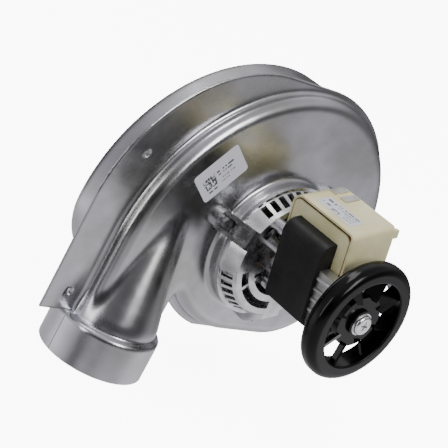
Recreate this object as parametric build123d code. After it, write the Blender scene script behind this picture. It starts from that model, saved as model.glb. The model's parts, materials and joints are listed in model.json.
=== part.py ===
"""Combustion fan: a sheet-steel scroll housing, an impeller, and a shaded-pole motor with its own cooling fan.

Frame: millimetres, +Z up. The origin is the centre of the round inlet, on the rear face of the housing.
The shaft lies along Y, the motor stands out towards -Y, and the outlet tube points down along -Z.
"""
import os
from math import cos, radians, sin, sqrt

from build123d import *

# ---------------------------------------------------------------- driving dimensions
SHEET = 1.0                 # housing steel
BACK_DEPTH = 50.0           # rear face to the seam between the two shells
FRONT_DEPTH = 12.0          # seam to the flat front face
SEAM_Y = -BACK_DEPTH
FACE_Y = SEAM_Y - FRONT_DEPTH

RIGHT_ARC_R = 110.0         # arc of the scroll wall on the far side of the shaft
RIGHT_ARC_Z = 1.0
LEFT_ARC_R = 127.5          # wider arc on the outlet side, with the same top
LEFT_ARC_Z = RIGHT_ARC_Z + RIGHT_ARC_R - LEFT_ARC_R
SCROLL_TOP_X = 0.0          # both arcs have their centres above and below this point
SCROLL_BOTTOM = 75.5        # shaft to the flat bottom wall
RIGHT_ARC_END = 20.0        # degrees below the horizontal where the right arc ends
CUTOFF_ARC_R = 93.2         # shallow arc that rises from the bottom wall to the cut-off
CUTOFF_ARC_X = 8.0
CUTOFF_FILLET = 8.0
PAN_EDGE_R = 8.0            # rounded edge between wall and face

TUBE_R = 38.1               # 3 inch outlet spigot
TUBE_X = -95.1
TUBE_END_Z = -108.6
SHOULDER_Z = -79.0          # step from the housing to the spigot
THROAT_RIGHT_X = TUBE_X + TUBE_R

FRONT_CONE_TOP = (-90.5, 1.5, 12.0)    # x, z and radius of the front bulge where it leaves the flat face
FRONT_CONE_R = 34.0
BACK_CONE_TOP = (-89.0, -10.0, 32.0)    # x, z and radius of the rear throat where it leaves the pan
BACK_CONE_R = 33.0

HEM = 5.0                   # narrow flange, folded over the rear shell
HEM_LIP = 3.5
FLANGE_LEFT_X = -159.5      # wide mounting flange on the outlet side
FLANGE_ARC_R = 114.0
FLANGE_ARC_Z = 2.0
FLANGE_END_Z = -78.0
FLANGE_HOLE_R = 2.6
FLANGE_HOLES = ((-136.5, 40.2), (-142.0, -63.8))

SEAT_FOOT_R = 51.0          # raised round motor seat pressed into the front face
SEAT_TOP_R = 48.5
SEAT_RISE = 9.0
SEAT_Y = FACE_Y - SEAT_RISE
SEAT_HOLE_R = 9.0
FAR = 600.0                 # longer than the whole fan, for cutting tools

INLET_R = 38.0
INLET_RING_WALL = 1.0
INLET_RING_DEPTH = 14.0
INLET_RING_FLANGE_R = 46.0

SHAFT_R = 3.97              # 5/16 inch
RUNNING_GAP = 0.05          # radial clearance of the shaft in its bearings
SHAFT_HOLE_GAP = 2.0        # and in the castings
SHAFT_BACK_Y = SEAM_Y + 11.0
SHAFT_FRONT_Y = SEAM_Y - 109.5

IMPELLER_R = 62.0
IMPELLER_BACK_Y = SEAM_Y - 5.0      # motor-side face of the backplate
IMPELLER_FRONT_Y = -16.0            # inlet-side face of the shroud
IMPELLER_SHEET = 1.0
IMPELLER_EYE_R = 41.5
BLADE_COUNT = 12
BLADE_INNER_R = 36.0
BLADE_THICK = 1.0
BLADE_SWEEP = 32.0          # degrees between the inner and the outer end of a blade
BLADE_BOW = 4.0             # degrees that its middle bulges forwards
IMPELLER_HUB_R = 11.0
IMPELLER_HUB_LENGTH = 15.0
SET_SCREW_R = 2.0

ADAPTER_FAR_R = 50.0        # die-cast motor adapter, at the housing
ADAPTER_NEAR_R = 43.8       # and at the motor
ADAPTER_NEAR_Y = SEAM_Y - 36.0
ADAPTER_WALL = 2.6
ADAPTER_PLATE = 3.0
ADAPTER_RIM_H = 3.0
ADAPTER_RIM_STEP = 1.2
ADAPTER_HUB_STEP = 2.0
BEARING_FLOOR = 3.0         # hub left behind the rear bearing
ADAPTER_HUB_R = 13.5
ADAPTER_HUB_LENGTH = 11.0
LEG_ANGLES = (168.0, 48.0, -72.0)
LEG_WIDTH = 15.0
LEG_CHANNEL = 9.0
LEG_SCREW_R = 57.5          # screw circle of the three feet
LEG_INNER_STEP = 4.0        # how far a leg reaches in and out of the basket's edges
LEG_CLEARANCE = 0.5         # between a leg and the raised seat
FOOT_R = 7.0
FOOT_H = 4.0
FOOT_LUG = 3.0              # leg beyond the screw's centre
SCREW_REACH = 4.5           # foot screws past the face of the housing
HEX_R, HEX_H = 4.3, 3.6
HEX_WASHER_R, HEX_WASHER_H = 4.4, 1.0
SLOT_FROM, SLOT_PITCH, SLOT_COUNT = 39.0, 9.0, 7      # degrees from each leg
SLOT_WIDTH = 4.6
SLOT_REACH = 16.0
WINDOW_FROM, WINDOW_TO = 35.0, 111.0                  # degrees from each leg
OUTER_WINDOW = (33.5, 39.5)
INNER_WINDOW = (18.5, 28.5)
INNER_WINDOW_TRIM = 8.0                               # the inner windows are this much shorter at each end
RIB_WIDTH, RIB_HEIGHT, RIB_SPREAD = 2.4, 6.0, 60.0

MOTOR_TILT = 18.6           # degrees that the motor frame is turned about the shaft
STACK_BACK_Y = SEAM_Y - 47.0
STACK_LENGTH = 38.1         # 1.5 inch stack
STACK_FRONT_Y = STACK_BACK_Y - STACK_LENGTH
STACK_MID_Y = STACK_BACK_Y - STACK_LENGTH / 2
STACK_HALF_W = 25.5
STACK_TOP = 46.0
STACK_BOTTOM = 26.0
STACK_CHAMFER_TOP = 13.0
STACK_CHAMFER_X = 8.5
STACK_CORNER_R = 9.0
STATOR_BORE_R = 15.0
COIL_WINDOW_HALF_W = 12.5
COIL_WINDOW_BOTTOM, COIL_WINDOW_TOP = 22.0, 34.0
AIR_GAP = 0.4
SHADING_BAR, SHADING_UP = 3.2, 7.5      # side of the bar's square section, and its height above the shaft
END_RING_DEPTH = 5.0
WASHER_R, WASHER_THICK, WASHER_GAP = 7.0, 0.8, 0.2
SEAL_R, SEAL_THICK = 14.0, 2.0
SLINGER_R, SLINGER_THICK, SLINGER_OFF = 20.0, 0.8, 1.2

BOLT_R = 2.1
BOLT_HEAD_R, BOLT_HEAD_H = 4.0, 2.6
BOLTS = ((-17.5, 17.5), (17.5, 17.5), (-17.5, -11.5), (17.5, -11.5))   # across and up, in the motor frame
POST_R = 4.6
ARM_POST = (-20.0, 34.0)

BRACKET_HALF_W = 21.5
BRACKET_TOP = 28.0
BRACKET_BOTTOM = 20.0
BRACKET_DEPTH = 13.5
BRACKET_WALL = 3.0
BRACKET_FRONT_Y = STACK_FRONT_Y - BRACKET_DEPTH
BRACKET_FOOT, BRACKET_CHAMFER_Z = 12.0, -9.0        # half width of its bottom, and where the corner cuts start
BRACKET_POST_R = 4.0
SIDE_RIBS, SIDE_RIB_R, SIDE_RIB_TOP, SIDE_RIB_PITCH = 4, 1.6, 6.0, 8.0
BOSS_WALL, BOSS_OUTER, BOSS_INNER = 3.0, 3.5, 4.0
BEARING_R = 8.0
REAR_BEARING_Y = ADAPTER_NEAR_Y + ADAPTER_HUB_LENGTH - BEARING_FLOOR      # its end towards the housing
REAR_BEARING_LENGTH = 10.5
FRONT_BEARING_Y = BRACKET_FRONT_Y - 1.5                                   # its end towards the cooling fan
FRONT_BEARING_LENGTH = 8.5

COIL_LEFT, COIL_RIGHT = -12.2, 12.2     # bobbin, between the stack's arms
COIL_OVERHANG = 8.4
COIL_FLANGE_H = 10.0        # bobbin flanges, above and below the coil leg
COIL_FLANGE_R = 5.0
BOBBIN_WALL = 1.2
WINDING_STEP = 0.8          # winding below the edge of the bobbin's flanges
COVER_RIGHT = 26.5
COVER_TOP = 59.5
COVER_WALL = 1.6
COVER_BACK_Y = STACK_BACK_Y + 10.5
COVER_FRONT_Y = STACK_FRONT_Y - 11.0
COVER_BOTTOM = 24.0
COVER_BACK_R, COVER_FRONT_R = 9.0, 4.0      # rounded top edges
COVER_LEFT_GAP = 0.2
COVER_TAB = (5.5, 3.0, 6.0)
COVER_TAB_DROP = 6.0        # tabs below the top face
ARM_GAP = 0.4               # cover to the arm of the stack
TERMINAL = (13.0, 6.3, 0.8)
TERMINAL_X = 12.0
TERMINAL_PITCH = 11.0

FAN_Y = SHAFT_FRONT_Y       # middle of the cooling fan's rim
FAN_RIM_R = 38.6            # to the middle of the rim section
FAN_RIM_HALF = 5.9          # half the rim section across, and its end rounding
FAN_RIM_AXIAL = 7.2
FAN_RIM_EDGE_R = 1.2
FAN_HUB_DISC_R = 19.0
FAN_BLADES = 8
FAN_BLADE_THICK = 1.6
FAN_BLADE_PITCH = 38.0
FAN_BLADE_CHORD = 11.0
FAN_DISC_THICK = 2.5
FAN_SKIRT_WALL = 2.0
FAN_HUB_R = 9.5
FAN_BOSS_STEP = 2.2         # hub in front of the middle disc
FAN_BACK_Y = FAN_Y + 4.9
FAN_WEB_Y = FAN_Y - 2.0
FAN_BLADE_Y = FAN_Y - 0.3
FAN_BOSS_Y = FAN_WEB_Y - FAN_BOSS_STEP
FAN_SCREW_R = 1.9
FAN_SCREW_HEAD_R, FAN_SCREW_HEAD_H = 7.4, 2.8
FAN_SCREW_REACH = 11.0
FAN_WASHER_R, FAN_WASHER_H = 8.4, 0.8
CROSS_RECESS = (6.4, 2.6, 1.3)

LABEL_LONG, LABEL_SHORT, LABEL_THICK = 38.0, 25.5, 0.2
LABEL_CORNER_R = 2.5
LABEL_CENTRE = (-77.0, 42.5)
LABEL_TILT = 55.3
COVER_LABEL = (13.0, 35.0)
COVER_LABEL_CORNER_R = 1.0
COVER_LABEL_SHIFT = (-7.0, -2.0)


# ---------------------------------------------------------------- small helpers
def rod(radius, y_front, y_back, x=0.0, z=0.0):
    """A cylinder along Y, from y_front to y_back."""
    cylinder = Cylinder(radius, y_back - y_front, align=(Align.CENTER, Align.CENTER, Align.MIN))
    return Pos(x, y_front, z) * Rot(-90, 0, 0) * cylinder


def ring(outer, inner, y_front, y_back, x=0.0, z=0.0):
    """A tube along Y."""
    return rod(outer, y_front, y_back, x, z) - rod(inner, y_front - 1, y_back + 1, x, z)


def slab(flat, y_front, y_back):
    """A flat shape, drawn as x and z, made solid between two values of y."""
    return Pos(0, y_back, 0) * extrude(Plane.XZ * flat, amount=y_back - y_front)


def upright(radius, x, z_low, z_high):
    """A cylinder along Z whose axis lies in the seam plane."""
    cylinder = Cylinder(radius, z_high - z_low, align=(Align.CENTER, Align.CENTER, Align.MIN))
    return Pos(x, SEAM_Y, z_low) * cylinder


def throat(top, bottom_radius, inset, z_low):
    """The slanting cone between the scroll and the spigot, made smaller by inset."""
    x, z, radius = top
    lower = Pos(TUBE_X, SEAM_Y, SHOULDER_Z) * Circle(bottom_radius - inset)
    upper = Pos(x, SEAM_Y, z) * Circle(radius - inset)
    return loft([lower, upper]) + upright(bottom_radius - inset, TUBE_X, z_low, SHOULDER_Z)


def in_motor_frame(shape):
    """Turns a shape about the shaft by the motor's tilt: across is x and up is z before the turn."""
    return Rot(0, -MOTOR_TILT, 0) * shape


def polar(radius, degrees):
    """x and z of a point at a radius and an angle about the shaft."""
    return radius * cos(radians(degrees)), radius * sin(radians(degrees))


def around(shape, degrees):
    """Turns a shape drawn along +X to an angle about the shaft, from +X towards +Z."""
    return Rot(0, -degrees, 0) * shape


def sector(inner, outer, start, end):
    """A flat ring sector, drawn as x and z."""
    wedge_r = outer * 2
    wedge = make_face(Polyline((0, 0), polar(wedge_r, start), polar(wedge_r, (start + end) / 2),
                               polar(wedge_r, end), close=True))
    return (Circle(outer) - Circle(inner)) & wedge


# ---------------------------------------------------------------- housing outlines
def pan_outline(grow):
    """The scroll without its throat, drawn as x and z, with every wall moved outwards by grow."""
    radius, left_radius = RIGHT_ARC_R + grow, LEFT_ARC_R + grow
    top, bottom = RIGHT_ARC_Z + radius, -(SCROLL_BOTTOM + grow)
    slope = sin(radians(RIGHT_ARC_END))
    corner_r = (RIGHT_ARC_Z - bottom - radius * slope) / (1 - slope)
    corner_x = SCROLL_TOP_X + (radius - corner_r) * cos(radians(RIGHT_ARC_END))
    right_end = (SCROLL_TOP_X + radius * cos(radians(RIGHT_ARC_END)), RIGHT_ARC_Z - radius * slope)
    left_start = (SCROLL_TOP_X - left_radius, LEFT_ARC_Z)
    cutoff_r = CUTOFF_ARC_R + grow
    cutoff_centre_z = bottom + cutoff_r
    cut_x = THROAT_RIGHT_X + grow
    cut_z = cutoff_centre_z - sqrt(cutoff_r ** 2 - (cut_x - CUTOFF_ARC_X) ** 2)
    return make_face([
        JernArc(left_start, (0, 1), left_radius, -90),
        JernArc((SCROLL_TOP_X, top), (1, 0), radius, -90 - RIGHT_ARC_END),
        TangentArc(right_end, (corner_x, bottom), tangent=(-slope, -cos(radians(RIGHT_ARC_END)))),
        Line((corner_x, bottom), (CUTOFF_ARC_X, bottom)),
        TangentArc((CUTOFF_ARC_X, bottom), (cut_x, cut_z), tangent=(-1, 0)),
        TangentArc(left_start, (cut_x, cut_z), tangent=(0, -1)),
    ])


def front_outline(grow, end_z):
    """The scroll with the straight throat that runs down to the spigot."""
    left_x = SCROLL_TOP_X - LEFT_ARC_R - grow
    right_x = THROAT_RIGHT_X + grow
    throat_box = Pos((left_x + right_x) / 2, (LEFT_ARC_Z + end_z) / 2) * Rectangle(
        right_x - left_x, LEFT_ARC_Z - end_z)
    whole = pan_outline(grow) + throat_box
    inner_corner = whole.vertices().filter_by(lambda v: v.Y < end_z / 3).sort_by_distance((right_x, end_z * 0.65))[0]
    return fillet(inner_corner, CUTOFF_FILLET - grow)


def flange_outline(inset):
    """Outer edge of the flange: wide on the outlet side, a narrow hem elsewhere."""
    left_x = FLANGE_LEFT_X + inset
    radius = FLANGE_ARC_R - inset
    arc_x = FLANGE_LEFT_X + FLANGE_ARC_R
    beyond_end = 2 * FLANGE_END_Z
    wide = make_face([
        Line((left_x, beyond_end), (left_x, FLANGE_ARC_Z)),
        JernArc((left_x, FLANGE_ARC_Z), (0, 1), radius, -90),
        Line((arc_x, FLANGE_ARC_Z + radius), (0, FLANGE_ARC_Z + radius)),
        Line((0, FLANGE_ARC_Z + radius), (0, 0)),
        Line((0, 0), (TUBE_X, 0)),
        Line((TUBE_X, 0), (TUBE_X, beyond_end)),
        Line((TUBE_X, beyond_end), (left_x, beyond_end)),
    ])
    return wide + front_outline(HEM - inset, beyond_end)


def above_flange_end(flat):
    """Keeps what lies above the square-cut end of the flange."""
    return flat & (Pos(0, FLANGE_END_Z + FAR / 2) * Rectangle(FAR, FAR))


def half_space(side):
    """Everything on one side of the seam: Align.MAX for the motor's side, Align.MIN for the inlet's."""
    return Pos(0, SEAM_Y, 0) * Box(FAR, FAR, FAR, align=(Align.CENTER, side, Align.CENTER))


# ---------------------------------------------------------------- housing shells
def front_volume(inset):
    """Everything that the front shell encloses, made smaller by inset."""
    face_y = FACE_Y + inset
    box = slab(front_outline(-inset, SHOULDER_Z + inset), face_y, SEAM_Y)
    box = fillet(box.edges().group_by(Axis.Y)[0], PAN_EDGE_R - inset)
    spigot = upright(TUBE_R - inset, TUBE_X, TUBE_END_Z - inset, SHOULDER_Z - inset)
    passage = slab(front_outline(-SHEET, 2 * SHOULDER_Z), FACE_Y + SHEET, SEAM_Y) & upright(
        TUBE_R - SHEET, TUBE_X, SHOULDER_Z - 3 * SHEET, SHOULDER_Z + 2 * SHEET)
    seat = Pos(0, face_y, 0) * Rot(90, 0, 0) * Cone(
        SEAT_FOOT_R - inset, SEAT_TOP_R - inset, SEAT_RISE, align=(Align.CENTER, Align.CENTER, Align.MIN))
    volume = box + throat(FRONT_CONE_TOP, FRONT_CONE_R, inset, SHOULDER_Z - 3 * inset) + spigot + seat + passage
    return volume & half_space(Align.MAX)


def back_volume(inset):
    """Everything that the rear shell encloses, made smaller by inset."""
    pan = slab(pan_outline(-inset), SEAM_Y, -inset)
    pan = fillet(pan.edges().group_by(Axis.Y)[-1], PAN_EDGE_R - inset)
    spigot = upright(TUBE_R - inset, TUBE_X, TUBE_END_Z - inset, SHOULDER_Z - inset)
    volume = pan + throat(BACK_CONE_TOP, BACK_CONE_R, inset, SHOULDER_Z - 3 * inset) + spigot
    return volume & half_space(Align.MIN)


def flange_hole_cuts():
    cuts = [rod(FLANGE_HOLE_R, SEAM_Y - 5, SEAM_Y + 5, x, z) for x, z in FLANGE_HOLES]
    return Part() + cuts


def make_front_shell():
    flange = slab(above_flange_end(flange_outline(0)), SEAM_Y - SHEET, SEAM_Y)
    hem_wall = above_flange_end(flange_outline(0) - flange_outline(SHEET))
    hem_lip = above_flange_end(flange_outline(0) - flange_outline(HEM_LIP))
    shell = front_volume(0) + flange - front_volume(SHEET)
    shell += slab(hem_wall, SEAM_Y, SEAM_Y + 2 * SHEET)
    shell += slab(hem_lip, SEAM_Y + SHEET, SEAM_Y + 2 * SHEET)
    shell -= rod(SEAT_HOLE_R, SEAT_Y - 1, SEAT_Y + 3)
    for degrees in LEG_ANGLES:
        x, z = polar(LEG_SCREW_R, degrees)
        shell -= rod(BOLT_R, FACE_Y - 1, FACE_Y + 3, x, z)
    return shell - flange_hole_cuts()


def make_back_shell():
    flange = slab(above_flange_end(flange_outline(SHEET)), SEAM_Y, SEAM_Y + SHEET)
    shell = back_volume(0) + flange - back_volume(SHEET)
    shell -= rod(INLET_R + INLET_RING_WALL, -3 * SHEET, SHEET)
    return shell - flange_hole_cuts()


def make_inlet_ring():
    throat_wall = ring(INLET_R + INLET_RING_WALL, INLET_R, -INLET_RING_DEPTH, 0)
    flange = ring(INLET_RING_FLANGE_R, INLET_R, -SHEET - INLET_RING_WALL, -SHEET)
    return throat_wall + flange


# ---------------------------------------------------------------- impeller and shaft
def make_blades():
    """Backward-leaning sheet blades between the backplate and the shroud."""
    outer_r = IMPELLER_R - IMPELLER_SHEET
    start = Vector(BLADE_INNER_R, 0)
    end = Vector(*polar(outer_r, -BLADE_SWEEP))
    bow = Vector(*polar((BLADE_INNER_R + outer_r) / 2, -BLADE_SWEEP / 2 + BLADE_BOW))
    profile = trace(ThreePointArc(start, bow, end), BLADE_THICK)
    blade = slab(profile, IMPELLER_BACK_Y + IMPELLER_SHEET, IMPELLER_FRONT_Y - IMPELLER_SHEET)
    return [around(blade, 360 / BLADE_COUNT * n) for n in range(BLADE_COUNT)]


def make_impeller_hub():
    hub = ring(IMPELLER_HUB_R, SHAFT_R, IMPELLER_BACK_Y + IMPELLER_SHEET,
               IMPELLER_BACK_Y + IMPELLER_SHEET + IMPELLER_HUB_LENGTH)
    return hub - set_screw_body(IMPELLER_HUB_R + 1)


def set_screw_body(reach):
    """A radial screw from the shaft's surface out to reach."""
    y_mid = IMPELLER_BACK_Y + IMPELLER_SHEET + IMPELLER_HUB_LENGTH / 2
    screw = Cylinder(SET_SCREW_R, reach - SHAFT_R, align=(Align.CENTER, Align.CENTER, Align.MIN))
    return Pos(0, y_mid, SHAFT_R) * screw


def make_shaft():
    shaft = rod(SHAFT_R, SHAFT_FRONT_Y, SHAFT_BACK_Y)
    return shaft - rod(FAN_SCREW_R, SHAFT_FRONT_Y - 1, SHAFT_FRONT_Y + FAN_SCREW_REACH + 1)


def make_rotor_end_rings():
    outer, inner = STATOR_BORE_R - 2 * AIR_GAP, 2 * SHAFT_R
    return [ring(outer, inner, STACK_BACK_Y, STACK_BACK_Y + END_RING_DEPTH),
            ring(outer, inner, STACK_FRONT_Y - END_RING_DEPTH, STACK_FRONT_Y)]


# ---------------------------------------------------------------- motor adapter
def adapter_skin(inset):
    """The slightly conical basket as a solid, made smaller by inset."""
    height = SEAT_Y - ADAPTER_NEAR_Y
    cone = Cone(ADAPTER_FAR_R - inset, ADAPTER_NEAR_R - inset, height,
                align=(Align.CENTER, Align.CENTER, Align.MIN))
    return Pos(0, SEAT_Y, 0) * Rot(90, 0, 0) * cone


def make_leg():
    """One U-shaped leg, drawn along +X, from its foot on the housing up to the motor side of the basket."""
    foot_y = FACE_Y - FOOT_H
    outer_r = LEG_SCREW_R + FOOT_LUG
    side = Polyline(
        (ADAPTER_NEAR_R - LEG_INNER_STEP, ADAPTER_NEAR_Y), (ADAPTER_NEAR_R + LEG_INNER_STEP, ADAPTER_NEAR_Y),
        (outer_r, foot_y - FOOT_H), (outer_r, FACE_Y), (SEAT_FOOT_R + LEG_CLEARANCE, FACE_Y),
        (SEAT_FOOT_R - 2 * LEG_CLEARANCE, SEAT_Y - 2 * LEG_CLEARANCE),
        (ADAPTER_FAR_R - LEG_INNER_STEP, SEAT_Y - FOOT_LUG), close=True)
    wall = extrude(make_face(side), amount=LEG_WIDTH / 2, both=True)
    channel = Pos(LEG_SCREW_R, foot_y, 0) * Box(
        2 * FOOT_R + FOOT_LUG, FAR, LEG_CHANNEL, align=(Align.CENTER, Align.MAX, Align.CENTER))
    pad = rod(FOOT_R + LEG_CLEARANCE, foot_y, FACE_Y, LEG_SCREW_R, 0)
    pad -= rod(SEAT_FOOT_R + LEG_CLEARANCE, foot_y - 1, FACE_Y + 1)
    return wall - channel + pad - rod(BOLT_R + 0.2, foot_y - 1, FACE_Y + 1, LEG_SCREW_R, 0)


def make_adapter():
    plate_y = ADAPTER_NEAR_Y + ADAPTER_PLATE
    basket = adapter_skin(0) - (adapter_skin(ADAPTER_WALL) & rod(FAR, plate_y, SEAT_Y))
    basket += ring(ADAPTER_FAR_R + ADAPTER_RIM_STEP, ADAPTER_FAR_R - LEG_INNER_STEP, SEAT_Y - ADAPTER_RIM_H, SEAT_Y)
    basket += rod(ADAPTER_HUB_R, ADAPTER_NEAR_Y - ADAPTER_HUB_STEP, ADAPTER_NEAR_Y + ADAPTER_HUB_LENGTH)
    slot_length = SEAT_Y - ADAPTER_RIM_H - 0.5 - plate_y
    slot = Pos(ADAPTER_FAR_R, plate_y + slot_length / 2, 0) * Box(SLOT_REACH, slot_length, SLOT_WIDTH)
    for leg in LEG_ANGLES:
        for n in range(SLOT_COUNT):
            basket -= around(slot, leg + SLOT_FROM + SLOT_PITCH * n)
        for (inner, outer), trim in ((OUTER_WINDOW, 0.0), (INNER_WINDOW, INNER_WINDOW_TRIM)):
            window = sector(inner, outer, leg + WINDOW_FROM + trim, leg + WINDOW_TO - trim)
            basket -= slab(window, ADAPTER_NEAR_Y - 1, plate_y + 1)
        rib = Pos(0, plate_y, 0) * Box(
            OUTER_WINDOW[1], RIB_HEIGHT, RIB_WIDTH, align=(Align.MIN, Align.MIN, Align.CENTER))
        basket += around(rib, leg)
        basket += around(rib, leg + RIB_SPREAD)
        basket += around(make_leg(), leg)
    for across, up in BOLTS + (ARM_POST,):
        basket += in_motor_frame(rod(POST_R, STACK_BACK_Y, plate_y, across, up))
    for across, up in BOLTS:
        basket -= in_motor_frame(rod(BOLT_R, STACK_BACK_Y - 1, plate_y + 1, across, up))
    pocket = rod(BEARING_R, ADAPTER_NEAR_Y - ADAPTER_HUB_STEP - 1, REAR_BEARING_Y)
    return basket - pocket - rod(SHAFT_R + SHAFT_HOLE_GAP, -FAR, 0)


def make_adapter_screws():
    """Hex-head screws with a washer face, one through each foot."""
    head_y = FACE_Y - FOOT_H
    washer = rod(HEX_WASHER_R, head_y - HEX_WASHER_H, head_y)
    hexagon = slab(RegularPolygon(HEX_R, 6), head_y - HEX_WASHER_H - HEX_H, head_y - HEX_WASHER_H)
    shank = rod(BOLT_R, head_y, FACE_Y + SCREW_REACH)
    screw = Pos(LEG_SCREW_R, 0, 0) * (washer + hexagon + shank)
    return [around(screw, degrees) for degrees in LEG_ANGLES]


# ---------------------------------------------------------------- stator, coil and bracket
def bolt_cuts(y_front, y_back):
    return Part() + [rod(BOLT_R, y_front, y_back, across, up) for across, up in BOLTS]


def make_stator_core():
    """The C-shaped lamination stack: a bored block with two arms up to the coil leg."""
    outline = make_face(Polyline(
        (-STACK_HALF_W, STACK_TOP), (STACK_HALF_W, STACK_TOP), (STACK_HALF_W, -STACK_CHAMFER_TOP),
        (STACK_CHAMFER_X, -STACK_BOTTOM), (-STACK_CHAMFER_X, -STACK_BOTTOM),
        (-STACK_HALF_W, -STACK_CHAMFER_TOP), close=True))
    outline = fillet(outline.vertices().group_by(Axis.Y)[-1], STACK_CORNER_R)
    opening = (STACK_TOP + COIL_WINDOW_BOTTOM) / 2
    outline -= Pos(0, opening) * Rectangle(2 * COIL_WINDOW_HALF_W, STACK_TOP - COIL_WINDOW_BOTTOM)
    core = slab(outline, STACK_FRONT_Y, STACK_BACK_Y)
    core -= rod(STATOR_BORE_R, STACK_FRONT_Y - 1, STACK_BACK_Y + 1)
    core -= bolt_cuts(STACK_FRONT_Y - 1, STACK_BACK_Y + 1)
    return in_motor_frame(core - make_shading_loops())


def make_shading_loops():
    """Two copper bars of the shading loops, set in the pole faces, one on each side of the bore."""
    loops = []
    for side in (1, -1):
        x = side * (STATOR_BORE_R - SHADING_BAR / 5)
        bar = Pos(x, STACK_MID_Y, side * SHADING_UP) * Box(SHADING_BAR, STACK_LENGTH, SHADING_BAR)
        loops.append(bar - rod(STATOR_BORE_R, STACK_FRONT_Y - 1, STACK_BACK_Y + 1))
    return Part() + loops


def make_coil_leg():
    up = (COIL_WINDOW_TOP + STACK_TOP) / 2
    bar = Pos(0, STACK_MID_Y, up) * Box(
        2 * COIL_WINDOW_HALF_W, STACK_LENGTH, STACK_TOP - COIL_WINDOW_TOP)
    return in_motor_frame(bar)


def coil_block(left, right, clear_y, clear_z):
    """A box round the coil leg that stands off from it by clear_y and clear_z."""
    z_mid = (COIL_WINDOW_TOP + STACK_TOP) / 2
    height = STACK_TOP - COIL_WINDOW_TOP
    return Pos((left + right) / 2, STACK_MID_Y, z_mid) * Box(
        right - left, STACK_LENGTH + 2 * clear_y, height + 2 * clear_z)


def make_bobbin():
    bobbin = coil_block(COIL_LEFT, COIL_RIGHT, BOBBIN_WALL, BOBBIN_WALL)
    for left in (COIL_LEFT, COIL_RIGHT - BOBBIN_WALL):
        flange = coil_block(left, left + BOBBIN_WALL, COIL_OVERHANG, COIL_FLANGE_H)
        bobbin += fillet(flange.edges().filter_by(Axis.X), COIL_FLANGE_R)
    return in_motor_frame(bobbin - coil_block(COIL_LEFT - 1, COIL_RIGHT + 1, 0, 0))


def make_winding():
    inner_left, inner_right = COIL_LEFT + BOBBIN_WALL, COIL_RIGHT - BOBBIN_WALL
    outer = coil_block(inner_left, inner_right, COIL_OVERHANG - WINDING_STEP, COIL_FLANGE_H - WINDING_STEP)
    outer = fillet(outer.edges().filter_by(Axis.X), COIL_FLANGE_R + 1)
    return in_motor_frame(outer - coil_block(COIL_LEFT - 1, COIL_RIGHT + 1, BOBBIN_WALL, BOBBIN_WALL))


def cover_shape(inset):
    """The moulded coil cover as a solid, with rounded top edges at its back and front, made smaller by inset."""
    left = COIL_LEFT - (COVER_LEFT_GAP if inset == 0 else COVER_TAB_DROP)
    width = COVER_RIGHT - inset - left
    depth = COVER_BACK_Y - COVER_FRONT_Y - 2 * inset
    block = Pos(left + width / 2, (COVER_BACK_Y + COVER_FRONT_Y) / 2, COVER_BOTTOM) * Box(
        width, depth, COVER_TOP - inset - COVER_BOTTOM, align=(Align.CENTER, Align.CENTER, Align.MIN))
    back_edge = block.edges().filter_by(Axis.X).group_by(Axis.Z)[-1].sort_by(Axis.Y)[-1]
    block = fillet(back_edge, COVER_BACK_R - inset)
    front_edge = block.edges().filter_by(Axis.X).group_by(Axis.Z)[-1].sort_by(Axis.Y)[0]
    return fillet(front_edge, COVER_FRONT_R - inset)


def make_cover():
    """A cap over the coil and the right arm, open below and towards the left arm."""
    cover = cover_shape(0) - (Pos(0, 0, -1) * cover_shape(COVER_WALL)) - cover_shape(COVER_WALL)
    arm = slab(Rectangle(FAR, 2 * STACK_TOP + 1), STACK_FRONT_Y - 0.1, STACK_BACK_Y + 0.1)
    arm &= Box(STACK_HALF_W + ARM_GAP, FAR, FAR, align=(Align.MIN, Align.CENTER, Align.CENTER))
    cover -= arm
    tab_x, tab_z = COVER_RIGHT + COVER_TAB[0] / 4, COVER_TOP - COVER_TAB_DROP
    for tab_y in (COVER_FRONT_Y + COVER_TAB[1] / 2, COVER_BACK_Y - 2 * COVER_TAB_DROP):
        cover += Pos(tab_x, tab_y, tab_z) * Box(*COVER_TAB)
    return in_motor_frame(cover)


def make_terminals():
    """Two push-on blades that stand out from the top of the cover."""
    blade = Box(*TERMINAL, align=(Align.MIN, Align.CENTER, Align.MIN))
    first_y = COVER_BACK_Y - COVER_BACK_R - 1
    blades = [Pos(TERMINAL_X, first_y - TERMINAL_PITCH * n, COVER_TOP) * blade for n in range(2)]
    return [in_motor_frame(one) for one in blades]


# ---------------------------------------------------------------- front bracket and bolts
def bracket_outline(inset):
    """Its section: a box whose lower corners are cut off, made smaller by inset."""
    half, bottom = BRACKET_HALF_W - inset, inset - BRACKET_BOTTOM
    foot = BRACKET_FOOT - inset / 2
    return make_face(Polyline(
        (-half, BRACKET_TOP - inset), (half, BRACKET_TOP - inset), (half, BRACKET_CHAMFER_Z),
        (foot, bottom), (-foot, bottom), (-half, BRACKET_CHAMFER_Z), close=True))


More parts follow.
